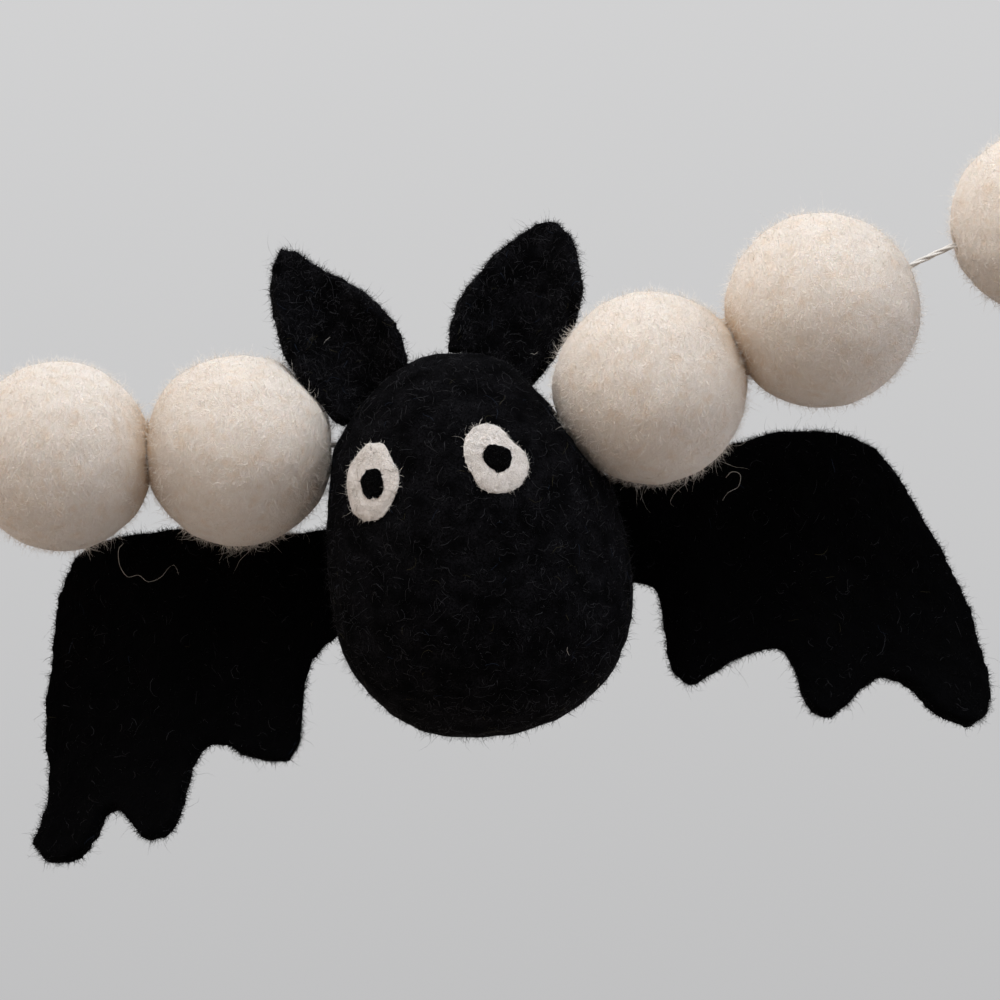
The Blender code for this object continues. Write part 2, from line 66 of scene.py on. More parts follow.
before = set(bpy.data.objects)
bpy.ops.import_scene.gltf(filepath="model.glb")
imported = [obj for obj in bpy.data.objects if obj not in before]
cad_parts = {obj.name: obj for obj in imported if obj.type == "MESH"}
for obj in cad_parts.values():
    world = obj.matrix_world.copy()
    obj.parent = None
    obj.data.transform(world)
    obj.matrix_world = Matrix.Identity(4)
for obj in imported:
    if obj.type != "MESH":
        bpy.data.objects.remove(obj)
CAD_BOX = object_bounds()

MM = 0.001
BODY = "root"
WINGS = ("wing_left", "wing_right")
EARS = ("ear_left", "ear_right")
EYES = ("eye_left", "eye_right")
PUPILS = ("pupil_left", "pupil_right")
BALLS = ("ball_left_outer", "ball_left_inner", "ball_right_inner", "ball_right_middle", "ball_right_outer")
PRESSED = (("ball_left_outer", "ball_left_inner"), ("ball_right_inner", "ball_right_middle"))
PRESSED_BY_BAT = {  # flats on a ball: degrees up from its hole's line, and how far from its middle
    "ball_left_inner": ((0.0, 12.3 * MM), (38.5, 12.05 * MM)),
}

# The cord's way from the left knot to the right one, through the balls and the bat
CORD_ROUTE = (
    (-0.1791, 0.00220, -0.04600),
    (-0.1766, 0.00220, -0.04630),
    (-0.1740, 0.00220, -0.04640),
    (-0.1680, 0.00220, -0.04630),
    (-0.1616, 0.00220, -0.04620),
    (-0.1559, 0.00220, -0.04610),
    (-0.1500, 0.00235, -0.04595),
    (-0.1440, 0.00250, -0.04565),
    (-0.1381, 0.00250, -0.04530),
    (-0.1318, 0.00250, -0.04495),
    (-0.1253, 0.00220, -0.04472),
    (-0.1180, 0.00095, -0.04425),
    (-0.1108, -0.00030, -0.04380),
    (-0.1035, -0.00155, -0.04335),
    (-0.0985, -0.00240, -0.04302),
    (-0.0963, -0.00258, -0.04266),
    (-0.0930, -0.00260, -0.04115),
    (-0.0890, -0.00260, -0.03935),
    (-0.0846, -0.00260, -0.03740),
    (-0.0790, -0.00260, -0.03497),
    (-0.0733, -0.00250, -0.03260),
    (-0.0677, -0.00240, -0.03003),
    (-0.0622, -0.00240, -0.02730),
    (-0.0563, -0.00240, -0.02442),
    (-0.0507, -0.00230, -0.02150),
    (-0.0478, -0.00200, -0.02010),
    (-0.0449, -0.00180, -0.01885),
    (-0.0393, -0.00180, -0.01734),
    (-0.0337, -0.00180, -0.01580),
    (-0.0280, -0.00180, -0.01423),
    (-0.0224, -0.00170, -0.01255),
    (-0.0199, -0.00150, -0.01130),
    (-0.0179, -0.00135, -0.01020),
)
# White threads caught on the wings' fronts: across and up, as shares of the wing's box
CAUGHT_THREADS = {
    "wing_left": ((0.27, 0.955), (0.255, 0.935), (0.26, 0.89), (0.285, 0.855), (0.32, 0.86), (0.35, 0.84),
                  (0.39, 0.855), (0.41, 0.88), (0.43, 0.89), (0.445, 0.86)),
    "wing_right": ((0.36, 0.84), (0.375, 0.86), (0.395, 0.85), (0.39, 0.81), (0.365, 0.79), (0.35, 0.76)),
}
# A hanging loop, seen square on: out from its knot, and across
LOOP_ROUTE = (
    (-0.0012, 0.0003),
    (0.0008, 0.0010),
    (0.0034, 0.0023),
    (0.0074, 0.0035),
    (0.0116, 0.0036),
    (0.0150, 0.0023),
    (0.0165, 0.0000),
    (0.0150, -0.0023),
    (0.0116, -0.0036),
    (0.0074, -0.0035),
    (0.0034, -0.0023),
    (0.0008, -0.0010),
)
KNOTS = {  # its middle, and the tip of its loop
    "left": (Vector((-0.1811, 0.0022, -0.0458)), Vector((-0.1996, 0.0022, -0.0442))),
    "right": (Vector((-0.0161, -0.00124, -0.0092)), Vector((0.0, 0.0, 0.0))),
}


# Settings ---------------------------------------------------------------------------------------


def colour(name, description, default):
    return FloatVectorProperty(
        name=name, description=description, default=default, subtype="COLOR", min=0.0, max=1.0
    )


def length(name, description, default):
    return FloatProperty(name=name, description=description, default=default, unit="LENGTH", precision=5)


class GARLAND_PG_wool(bpy.types.PropertyGroup):
    """Colours of the wool"""

    cream: colour("Cream", "Felt balls where the fibres lie on top", (0.90, 0.84, 0.77))
    cream_deep: colour("Cream, deep", "Felt balls between the fibres", (0.78, 0.69, 0.60))
    # Partly a real stain on random yellowed patches, partly painted warm shade in the crevices between pressed
    # balls, and a warmer, darker tint round the cord's holes
    cream_stain_and_crevice_shade: colour("Stain and crevice shade", "Yellowed patches and creases on the felt balls", (0.70, 0.47, 0.26))
    black: colour("Black", "Bat's felt where the fibres lie on top", (0.0016, 0.0016, 0.0020))
    black_deep: colour("Black, deep", "Bat's felt between the fibres", (0.0006, 0.0006, 0.0008))
    # Painted glints: a lighter colour on the curly strands of the body and ears, as if the light caught them
    black_curl_glint: colour("Black, painted curl glints", "Bat's loose curls where the light takes them", (0.010, 0.010, 0.012))
    white: colour("White", "Wool of the eyes", (0.86, 0.82, 0.79))
    white_deep: colour("White, deep", "Wool of the eyes between the fibres", (0.60, 0.56, 0.53))
    cord: colour("Cord", "Cotton cord", (0.86, 0.85, 0.82))


class GARLAND_PG_fuzz(bpy.types.PropertyGroup):
    """The coat of loose fibres on the felt"""

    density: FloatProperty(name="Density", description="Share of the usual number of fibres", default=1.0)
    length: FloatProperty(name="Length", description="Share of the usual length of a fibre", default=1.0)
    thickness: FloatProperty(name="Thickness", description="Share of the usual thickness", default=1.0)


class GARLAND_PG_cord(bpy.types.PropertyGroup):
    """The cord"""

    diameter: length("Diameter", "Cord's thickness", 0.8 * MM)
    twist: length("Twist", "Length of one full turn of its plies", 7.0 * MM)
    plies: IntProperty(name="Plies", description="Strands twisted together", default=3)


class GARLAND_PG_studio(bpy.types.PropertyGroup):
    """Camera, lights and floor"""

    distance: length("Camera distance", "From the camera to the garland's plane", 0.5)
    view_width: length("View width", "Width of what the camera sees at that distance", 130.2 * MM)
    floor_drop: length("Floor drop", "Height of the garland above the floor", 0.34)
    key_power: FloatProperty(name="Key light", description="Power of the overhead light in watts", default=3.3)


# Small helpers ----------------------------------------------------------------------------------


def only(thing):
    """Select this object alone, and make it the active one."""
    bpy.ops.object.select_all(action="DESELECT")
    thing.select_set(True)
    bpy.context.view_layer.objects.active = thing


def modify(thing, name, kind, **settings):
    """Add a modifier and apply it."""
    only(thing)
    modifier = thing.modifiers.new(name, kind)
    for key, value in settings.items():
        setattr(modifier, key, value)
    bpy.ops.object.modifier_apply(modifier=modifier.name)


def hand_over(piece, slot, *nodes):
    """Let a finished piece ride on the garland, and hide the nodes it stands for. Its slot is not used."""
    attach(piece, BODY)
    if nodes:
        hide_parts(*nodes)
    return piece


def node_middle(node):
    low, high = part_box(node)
    return (low + high) / 2


def lay_out(points, step, closed=False):
    """Points a step apart along a smooth curve through the given ones."""
    points = [Vector(p) for p in points]
    count = len(points)
    fine = []
    for i in range(count if closed else count - 1):
        a, b = points[i], points[(i + 1) % count]
        before = points[i - 1] if closed or i > 0 else a * 2 - b
        after = points[(i + 2) % count] if closed or i + 2 < count else b * 2 - a
        for k in range(24):
            t = k / 24
            fine.append(
                0.5 * (2 * a + (b - before) * t + (2 * before - 5 * a + 4 * b - after) * t**2
                       + (3 * a - before - 3 * b + after) * t**3)
            )
    fine.append(points[0] if closed else points[-1])
    fine = np.array(fine)
    along = np.concatenate([[0.0], np.cumsum(np.linalg.norm(np.diff(fine, axis=0), axis=1))])
    stops = np.linspace(0.0, along[-1], max(int(round(along[-1] / step)), 8) + 1)
    if closed:
        stops = stops[:-1]
    return np.stack([np.interp(stops, along, fine[:, k]) for k in range(3)], axis=1)


def unit(vectors):
    return vectors / np.maximum(np.linalg.norm(vectors, axis=-1, keepdims=True), 1e-12)


def mesh_from(name, points, corners, sizes, slots=None):
    """A mesh from its points, every face's corners in one row, and how many corners each has."""
    mesh = bpy.data.meshes.new(name)
    mesh.vertices.add(len(points))
    mesh.vertices.foreach_set("co", np.asarray(points, np.float32).ravel())
    mesh.loops.add(len(corners))
    mesh.loops.foreach_set("vertex_index", np.asarray(corners, np.int32))
    mesh.polygons.add(len(sizes))
    starts = np.concatenate([[0], np.cumsum(sizes)[:-1]])
    mesh.polygons.foreach_set("loop_start", starts.astype(np.int32))
    if slots is not None:
        mesh.polygons.foreach_set("material_index", slots.astype(np.int32))
    mesh.update(calc_edges=True)
    mesh.shade_smooth()
    return mesh


def new_piece(name, mesh, *finishes):
    piece = bpy.data.objects.new(name, mesh)
    bpy.context.scene.collection.objects.link(piece)
    for finish in finishes:
        mesh.materials.append(finish)
    return piece


# Materials --------------------------------------------------------------------------------------


def add(tree, kind, inputs=(), **settings):
    """A node with its settings, and its inputs set to values or joined to other nodes."""
    made = tree.nodes.new(kind)
    for key, value in settings.items():
        setattr(made, key, value)
    for key, value in dict(inputs).items():
        if isinstance(value, bpy.types.NodeSocket):
            tree.links.new(value, made.inputs[key])
        else:
            made.inputs[key].default_value = value
    return made


def new_material(name, **sockets):
    """A Principled material with these values straight on its sockets."""
    material = bpy.data.materials.new(name)
    material.use_nodes = True
    shader = material.node_tree.nodes["Principled BSDF"]
    for key, value in sockets.items():
        shader.inputs[key.replace("_", " ")].default_value = value
    return material, material.node_tree, shader


def opaque(rgb):
    return (*rgb[:3], 1.0)


def weighed(tree, *parts):
    """The sum of values, each times its share."""
    total = 0.0
    for value, share in parts:
        total = add(tree, "ShaderNodeMath", {0: value, 1: share, 2: total}, operation="MULTIPLY_ADD").outputs[0]
    return total


def spread(tree, value, low, high):
    """Stretch a value from this range to the whole of 0 to 1."""
    return add(tree, "ShaderNodeMapRange", {"Value": value, "From Min": low, "From Max": high}).outputs[0]


def felt_pattern(tree, strand, blotch):
    """Matted wool: combed strands that swirl in patches, with fine grain and soft blotches."""
    place = add(tree, "ShaderNodeTexCoord").outputs["Object"]
    bend = add(tree, "ShaderNodeTexNoise", {"Vector": place, "Scale": 0.02 / strand, "Detail": 2.0})
    centred = add(tree, "ShaderNodeVectorMath", {0: bend.outputs["Color"], 1: (0.5, 0.5, 0.5)},
                  operation="SUBTRACT")
    shift = add(tree, "ShaderNodeVectorMath", {0: centred.outputs[0], "Scale": 40.0 * strand},
                operation="SCALE")
    warped = add(tree, "ShaderNodeVectorMath", {0: place, 1: shift.outputs[0]}, operation="ADD").outputs[0]
    patch = add(tree, "ShaderNodeTexNoise", {"Vector": place, "Scale": 0.05 / strand, "Detail": 1.0})
    masks = add(tree, "ShaderNodeSeparateXYZ", {0: patch.outputs["Color"]}).outputs
    fine = wide = None
    for i, turn in enumerate(((0.3, 0.2, 0.5), (1.4, -0.4, 1.9), (-0.7, 1.5, 3.0))):
        comb = add(tree, "ShaderNodeMapping", {"Vector": warped, "Rotation": turn, "Scale": (1.0, 1.0, 0.09)})
        lines = add(tree, "ShaderNodeTexNoise",
                    {"Vector": comb.outputs[0], "Scale": 1.0 / strand, "Detail": 2.0, "Roughness": 0.6})
        locks = add(tree, "ShaderNodeTexNoise",
                    {"Vector": comb.outputs[0], "Scale": 0.3 / strand, "Detail": 1.0, "Roughness": 0.5})
        if fine is None:
            fine, wide = lines.outputs["Fac"], locks.outputs["Fac"]
            continue
        mask = spread(tree, masks[i], 0.44, 0.56)
        fine = add(tree, "ShaderNodeMix", {0: mask, 2: fine, 3: lines.outputs["Fac"]}).outputs[0]
        wide = add(tree, "ShaderNodeMix", {0: mask, 2: wide, 3: locks.outputs["Fac"]}).outputs[0]
    grain = add(tree, "ShaderNodeTexNoise", {"Vector": place, "Scale": 1.8 / strand, "Detail": 2.0}).outputs["Fac"]
    curls = 0.0
    for size, turn in ((2.2, 0.7), (1.5, 2.1), (3.1, -1.2)):
        turned = add(tree, "ShaderNodeMapping", {"Vector": place, "Rotation": (turn, turn, 0.4 * turn)})
        level = add(tree, "ShaderNodeTexNoise",
                    {"Vector": turned.outputs[0], "Scale": 1.0 / (size * strand), "Detail": 1.0}).outputs["Fac"]
        off = add(tree, "ShaderNodeMath", {0: level, 1: 0.5, 2: 0.0}, operation="SUBTRACT").outputs[0]
        off = add(tree, "ShaderNodeMath", {0: off}, operation="ABSOLUTE").outputs[0]
        line = spread(tree, off, 0.10 / size, 0.0)
        curls = add(tree, "ShaderNodeMath", {0: line, 1: curls}, operation="MAXIMUM").outputs[0]
    soft = add(tree, "ShaderNodeTexNoise", {"Vector": place, "Scale": 1.0 / blotch, "Detail": 3.0}).outputs["Color"]
    blots = add(tree, "ShaderNodeSeparateXYZ", {0: soft}).outputs
    return (spread(tree, fine, 0.33, 0.67), spread(tree, wide, 0.35, 0.65), grain,
            spread(tree, blots[0], 0.35, 0.65), spread(tree, blots[1], 0.52, 0.72), curls)


def felt(name, top, deep, stain_and_crevice_shade, strand, blotch, relief, stained=0.0, curly=None, **sockets):
    """Felt whose colour and relief follow its matted strands."""
    material, tree, shader = new_material(name, Roughness=0.95, **sockets)
    fine, wide, grain, blotches, stains, curls = felt_pattern(tree, strand, blotch)
    share = weighed(tree, (fine, 0.22), (wide, 0.20), (blotches, 0.33), (curls, 0.25))
    tone = add(tree, "ShaderNodeMix", {0: share, 6: opaque(deep), 7: opaque(top)}, data_type="RGBA").outputs[2]
    # The stain colour goes on random yellowed patches, and through the crevice attribute as painted warm shade in
    # the crevices
    if stained:
        crevice = add(tree, "ShaderNodeAttribute", attribute_name="crevice").outputs["Fac"]
        share = weighed(tree, (stains, stained), (crevice, 0.95))
        tone = add(tree, "ShaderNodeMix", {0: share, 6: tone, 7: opaque(stain_and_crevice_shade)}, data_type="RGBA").outputs[2]
    # curly paints glints: curly strands, patchily, take a lighter colour that stands in for light catching them
    if curly:
        mask = add(tree, "ShaderNodeMath", {0: curls, 1: blotches}, operation="MULTIPLY").outputs[0]
        tone = add(tree, "ShaderNodeMix", {0: mask, 6: tone, 7: opaque(curly)}, data_type="RGBA").outputs[2]
    tree.links.new(tone, shader.inputs["Base Color"])
    height = weighed(tree, (fine, 0.5), (wide, 0.8), (grain, 0.6), (curls, 0.9))
    bump = add(tree, "ShaderNodeBump", {"Height": height, "Distance": relief, "Strength": 0.8})
    tree.links.new(bump.outputs[0], shader.inputs["Normal"])
    return material


def fibre_finish(name, rgb, roughness=0.6, specular=0.3):
    return new_material(
        name, Base_Color=opaque(rgb), Roughness=roughness, Specular_IOR_Level=specular
    )[0]


def finish(name):
    """A material by name, made the first time it is asked for."""
    if name in bpy.data.materials:
        return bpy.data.materials[name]
    wool = bpy.context.scene.garland_wool
    if name == "cream felt":
        return felt(
            name, wool.cream, wool.cream_deep, wool.cream_stain_and_crevice_shade, 0.17 * MM, 1.8 * MM, 0.13 * MM, stained=0.28,
            Specular_IOR_Level=0.15, Sheen_Weight=0.4, Sheen_Roughness=0.6,
            Sheen_Tint=(1.0, 0.98, 0.95, 1.0), Subsurface_Weight=0.2,
            Subsurface_Radius=(1.0, 0.72, 0.5), Subsurface_Scale=0.9 * MM,
        )
    if name in ("black felt", "black felt, curly"):
        return felt(
            name, wool.black, wool.black_deep, wool.black, 0.20 * MM, 3.0 * MM, 0.12 * MM,
            curly=wool.black_curl_glint if "curly" in name else None,
            Specular_IOR_Level=0.02, Sheen_Weight=0.003, Sheen_Roughness=0.5,
            Sheen_Tint=(0.75, 0.85, 1.0, 1.0),
        )
    if name == "white wool":
        return felt(
            name, wool.white, wool.white_deep, wool.white, 0.20 * MM, 2.5 * MM, 0.12 * MM,
            Specular_IOR_Level=0.15, Sheen_Weight=0.2, Sheen_Roughness=0.6,
            Sheen_Tint=(1.0, 0.98, 0.96, 1.0), Subsurface_Weight=0.15,
            Subsurface_Radius=(1.0, 0.8, 0.7), Subsurface_Scale=0.5 * MM,
        )
    if name == "cotton":
        return felt(
            name, wool.cord, [0.85 * part for part in wool.cord], wool.cord, 0.10 * MM, 4.0 * MM, 0.03 * MM,
            Specular_IOR_Level=0.3, Sheen_Weight=0.2, Sheen_Roughness=0.5,
            Sheen_Tint=(1.0, 1.0, 1.0, 1.0),
        )
    plain = {
        "cream fibre": ((0.92, 0.87, 0.81), 0.8, 0.1),
        "cream fibre, deep": ((0.76, 0.68, 0.58), 0.9, 0.05),
        # Painted warm shade, for fibres in the crevice between pressed balls
        "crevice shade fibre": ((0.72, 0.50, 0.28), 0.9, 0.05),
        "black fibre": ((0.0012, 0.0012, 0.0016), 0.45, 0.10),
        "black fibre, lit": ((0.022, 0.022, 0.027), 0.5, 0.3),
        "grey fibre": ((0.045, 0.047, 0.055), 0.6, 0.2),
        "olive fibre": ((0.045, 0.040, 0.018), 0.6, 0.2),
        "blue fibre": ((0.016, 0.026, 0.050), 0.6, 0.2),
        "white fibre": ((0.80, 0.77, 0.72), 0.7, 0.2),
    }
    return fibre_finish(name, *plain[name])


# Fibres -----------------------------------------------------------------------------------------


def grown_from(piece, per_cm2, random, weigh=None):
    """Places on a piece's surface, with their normals. weigh says where they grow, from 0 to 1."""
    mesh = piece.data
    mesh.calc_loop_triangles()
    places = np.empty(len(mesh.vertices) * 3, np.float32)
    mesh.vertices.foreach_get("co", places)
    places = places.reshape(-1, 3).astype(float)
    normals = np.empty(len(mesh.vertices) * 3, np.float32)
    mesh.vertex_normals.foreach_get("vector", normals)
    normals = normals.reshape(-1, 3).astype(float)
    triangles = np.empty(len(mesh.loop_triangles) * 3, np.int32)
    mesh.loop_triangles.foreach_get("vertices", triangles)
    triangles = triangles.reshape(-1, 3)
    a, b, c = (places[triangles[:, k]] for k in range(3))
    weight = np.linalg.norm(np.cross(b - a, c - a), axis=1) / 2
    if weigh is not None:
        weight = weight * weigh((a + b + c) / 3, unit(normals[triangles].mean(axis=1)))
    count = int(per_cm2 * weight.sum() * 1e4)
    chosen = random.choice(len(triangles), size=count, p=weight / weight.sum())
    across = np.sqrt(random.random(count))[:, None]
    along = random.random(count)[:, None]
    shares = np.stack([1 - across, across * (1 - along), across * along], axis=1)
    corners = triangles[chosen]
    return (places[corners] * shares).sum(axis=1), unit((normals[corners] * shares).sum(axis=1))


def loose_ways(places, normals, lengths, segments, lean, curl, random, droop=0.0):
    """The curved ways of fibres that stand off the surface: lean is how flat they start."""
    count = len(places)
    flat = unit(np.cross(normals, random.normal(size=(count, 3))))
    slope = lean * (0.55 + 0.45 * random.random((count, 1)))
    way = unit(normals * np.cos(slope) + flat * np.sin(slope))
    turn = unit(np.cross(way, random.normal(size=(count, 3))))
    step = (lengths / segments)[:, None]
    points = [places - normals * 0.04 * MM]
    for _ in range(segments):
        points.append(points[-1] + way * step)
        turn = unit(turn + 0.35 * random.normal(size=(count, 3)))
        bend = curl * (0.4 + 1.2 * random.random((count, 1)))
        way = unit(way + turn * bend + np.array([0.0, 0.0, -droop]))
    return np.stack(points, axis=1)


def laid_ways(piece, places, lengths, segments, wander, lift, random):
    """The ways of fibres that lie on the surface and wander over it."""
    graph = bpy.context.evaluated_depsgraph_get()
    tree = BVHTree.FromObject(piece, graph)
    ways = np.empty((len(places), segments + 1, 3))
    for i, start in enumerate(places):
        spot, normal, _, _ = tree.find_nearest(Vector(start))
        way = normal.cross(Vector(random.normal(size=3))).normalized()
        swing = 0.0
        for k in range(segments + 1):
            rise = lift * (1.0 if 0 < k < segments else -0.6)
            ways[i, k] = spot + normal * rise
            swing = 0.6 * swing + wander * random.normal()
            way = (way + normal.cross(way) * swing).normalized()
            ahead = spot + way * (lengths[i] / segments)
            found, normal, _, _ = tree.find_nearest(ahead)
            if (found - spot).length > 1e-7:
                way = (found - spot).normalized()
            spot = found
    return ways


def spun(name, ways, thickness, shades, finishes, taper=0.7):
    """One mesh of three-sided fibres along these ways, closed at the root and drawn to a point."""
    count, stops, _ = ways.shape
    segments = stops - 1
    along = unit(np.diff(ways, axis=1))
    side = np.cross(along[:, :1], ways[:, -1:] - ways[:, :1] + np.array([0.0013, 0.0007, 0.0011]))
    side = unit(side)
    first = unit(np.cross(along, np.broadcast_to(side, along.shape)))
    second = np.cross(along, first)
    radius = thickness[:, None] / 2 * (1.0 - np.arange(segments)[None] / segments) ** taper
    rings = []
    for k in range(3):
        turn = 2 * math.pi * k / 3
        rings.append(ways[:, :-1] + radius[..., None] * (math.cos(turn) * first + math.sin(turn) * second))
    rings = np.stack(rings, axis=2).reshape(count, segments * 3, 3)
    points = np.concatenate([rings, ways[:, -1:]], axis=1).reshape(-1, 3)
    corners, sizes = [2, 1, 0], [3]
    for k in range(segments - 1):
        low, high = 3 * k, 3 * k + 3
        for j in range(3):
            corners += [low + j, low + (j + 1) % 3, high + (j + 1) % 3, high + j]
            sizes.append(4)
    last = 3 * (segments - 1)
    for j in range(3):
        corners += [last + j, last + (j + 1) % 3, 3 * segments]
        sizes.append(3)
    per_fibre = 3 * segments + 1
    everyone = (np.arange(count)[:, None] * per_fibre + np.array(corners)[None]).ravel()
    slots = np.repeat(shades, len(sizes))
    mesh = mesh_from(name, points, everyone, np.tile(sizes, count), slots)
    return new_piece(name, mesh, *[finish(f) for f in finishes])


def coat_layer(piece, random, per_cm2, length, segments, lean, curl, thickness, finishes,
               weigh=None, skip=None, droop=0.0, laid=None):
    """One layer of a coat. finishes gives each finish its share, and laid keeps fibres this high."""
    fuzz = bpy.context.scene.garland_fuzz
    places, normals = grown_from(piece, per_cm2 * fuzz.density, random, weigh)
    if skip is not None:
        kept = [not skip(Vector(place), Vector(normal)) for place, normal in zip(places, normals)]
        places, normals = places[kept], normals[kept]
    count = len(places)
    lengths = length * fuzz.length * (0.45 + random.gamma(2.4, 0.23, count))
    if laid is None:
        ways = loose_ways(places, normals, lengths, segments, lean, curl, random, droop)
    else:
        ways = laid_ways(piece, places, lengths, segments, curl, laid, random)
    widths = thickness * fuzz.thickness * (0.75 + 0.5 * random.random(count))
    shares = np.array(list(finishes.values()), float)
    shades = random.choice(len(shares), size=count, p=shares / shares.sum())
    return spun("layer", ways, widths, shades, list(finishes), taper=0.7 if laid is None else 0.3)


def joined(name, pieces):
    """Join pieces into one object."""
    only(pieces[0])
    for piece in pieces:
        piece.select_set(True)
    bpy.ops.object.join()
    pieces[0].name = pieces[0].data.name = name
    return pieces[0]


# Making the pieces ------------------------------------------------------------------------------


def copy_of_node(node, name):
    """A new piece with a node's shape, its loose triangles merged."""
    shape = bmesh.new()
    shape.from_mesh(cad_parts[node].data)
    bmesh.ops.remove_doubles(shape, verts=shape.verts, dist=0.002 * MM)
    mesh = bpy.data.meshes.new(name)
    shape.to_mesh(mesh)
    shape.free()
    return new_piece(name, mesh)


def soften(piece, voxel, passes):
    """Turn a solid into an even net of small faces and round its edges."""
    modify(piece, "Felt", "REMESH", mode="VOXEL", voxel_size=voxel)
    modify(piece, "Soften", "SMOOTH", factor=0.5, iterations=passes)


def ruffle(piece, layers, hold=None):
    """Push the surface out and in by layers of soft noise, each with its size and height."""
    mesh = piece.data
    pushes = []
    for vertex in mesh.vertices:
        push = sum(height * noise.noise(vertex.co / size) for size, height in layers)
        pushes.append(vertex.normal * push * (hold(vertex.co) if hold else 1.0))
    for vertex, push in zip(mesh.vertices, pushes):
        vertex.co += push
    mesh.shade_smooth()
    mesh.update()


def cord_way(at):
    """The cord's direction where it passes nearest a point."""
    route = [Vector(p) for p in CORD_ROUTE]
    near = min(range(1, len(route) - 1), key=lambda i: (route[i] - at).length)
    return (route[near + 1] - route[near - 1]).normalized()


def ball_place(node):
    """The middle and the radius of the sphere that a ball's round side lies on."""
    points = np.array([vertex.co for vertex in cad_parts[node].data.vertices])
    kept = np.full(len(points), True)
    for _ in range(6):  # each time without the points of its hole and its flats, which lie inside
        table = np.column_stack([2 * points[kept], np.ones(kept.sum())])
        fit = np.linalg.lstsq(table, (points[kept] ** 2).sum(axis=1), rcond=None)[0]
        radius = math.sqrt(fit[3] + fit[:3] @ fit[:3])
        kept = np.linalg.norm(points - fit[:3], axis=1) > radius - 0.25 * MM
    return Vector(fit[:3]), radius


def flats_of(node, middle, axis):
    """Where a ball is pressed flat: each flat's direction, how far out it is and how soft its edge."""
    flats = []
    for pair in PRESSED:
        if node in pair:
            towards = ball_place(pair[1 - pair.index(node)])[0] - middle
            flats.append((towards.normalized(), towards.length / 2 - 0.01 * MM, 0.06 * MM))
    for climb, depth in PRESSED_BY_BAT.get(node, ()):
        flats.append((Matrix.Rotation(-math.radians(climb), 3, "Y") @ axis, depth, 0.3 * MM))
    return flats


def bored_ball(node):
    """A felt ball with the cord's hole, pressed flat where it meets its neighbours."""
    middle, radius = ball_place(node)
    radius -= 0.05 * MM
    axis = cord_way(middle)
    flats = flats_of(node, middle, axis)
    bpy.ops.object.select_all(action="DESELECT")
    bpy.ops.mesh.primitive_uv_sphere_add(segments=88, ring_count=44, radius=radius)
    ball = bpy.context.object
    ball.name = ball.data.name = node.replace("ball", "felt_ball")
    bpy.ops.object.mode_set(mode="EDIT")
    bpy.ops.mesh.select_mode(type="VERT")
    bpy.ops.mesh.select_all(action="DESELECT")
    bpy.ops.object.mode_set(mode="OBJECT")
    for vertex in ball.data.vertices:
        vertex.select = abs(vertex.co.z) > radius * 0.99999
    bpy.ops.object.mode_set(mode="EDIT")
    bpy.ops.mesh.delete(type="VERT")
    bpy.ops.mesh.select_non_manifold()
    bpy.ops.mesh.bridge_edge_loops(number_cuts=6)
    bpy.ops.mesh.select_all(action="SELECT")
    bpy.ops.mesh.normals_make_consistent(inside=False)
    bpy.ops.object.mode_set(mode="OBJECT")

    dimple_depth, dimple_width = 0.5 * MM, 1.2 * MM
    for vertex in ball.data.vertices:
        x, y, z = vertex.co
        out = math.hypot(x, y) / dimple_width
        vertex.co.z -= math.copysign(dimple_depth, z) * math.exp(-out * out) * min(abs(z) / radius, 1.0)
    ball.data.transform(Matrix.Translation(middle) @ axis.to_track_quat("Z", "Y").to_matrix().to_4x4())

    def hold(point):
        out = (point - middle).cross(axis).length
        return min(max((out - 0.8 * MM) / (2.0 * MM), 0.0), 1.0)

    ruffle(ball, ((11.0 * MM, 0.45 * MM), (3.2 * MM, 0.20 * MM), (1.5 * MM, 0.07 * MM)), hold)
    for towards, depth, softness in flats:
        for vertex in ball.data.vertices:
            over = (vertex.co - middle).dot(towards) - depth
            if -6 * softness < over < 1.4 * MM:
                vertex.co -= towards * softness * math.log1p(math.exp(over / softness))
    # crevice marks where painted warm shade goes: the crevice where this ball presses on its neighbour, and a
    # warmer, darker tint round the cord's hole
    crevice = ball.data.attributes.new("crevice", "FLOAT", "POINT")
    for vertex, mark in zip(ball.data.vertices, crevice.data):
        offset = vertex.co - middle
        mark.value = math.exp(-offset.cross(axis).length / (0.9 * MM))
        for towards, depth, _ in flats[:1]:
            mark.value = max(mark.value, math.exp(-max(depth - offset.dot(towards), 0.0) / (1.3 * MM)))
    ball.data.materials.append(finish("cream felt"))
    return ball


